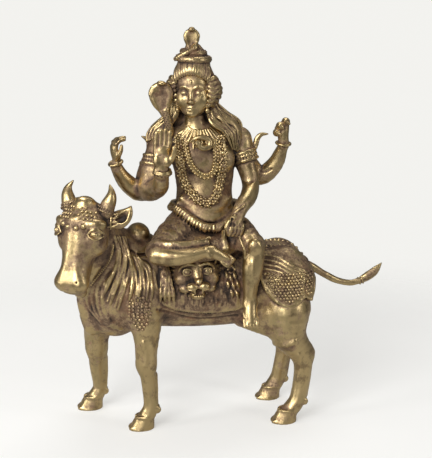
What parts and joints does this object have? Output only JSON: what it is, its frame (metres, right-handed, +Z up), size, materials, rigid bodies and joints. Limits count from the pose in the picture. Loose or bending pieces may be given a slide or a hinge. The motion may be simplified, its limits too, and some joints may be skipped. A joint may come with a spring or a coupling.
{
  "type": "shiva on nandi figure",
  "caption": "Cast brass group of a four-armed seated deity on a standing humped bull with harness, lion-skin saddle and rump blanket.",
  "frame": {"origin": "middle of the footprint box, on the ground under the hooves", "axes": "+Z up, +X from the bull's head towards its tail, -Y the side that the seated figure faces"},
  "size_m": [0.3872, 0.1354, 0.4541],
  "materials": {
    "brass": "aged cast brass, rubbed bright on the high places",
    "dark_brass": "aged cast brass with brown patina in the carving"
  },
  "bodies": {
    "root": {"nandi": "brass", "shiva": "dark_brass", "tail": "dark_brass"}
  },
  "joints": []
}
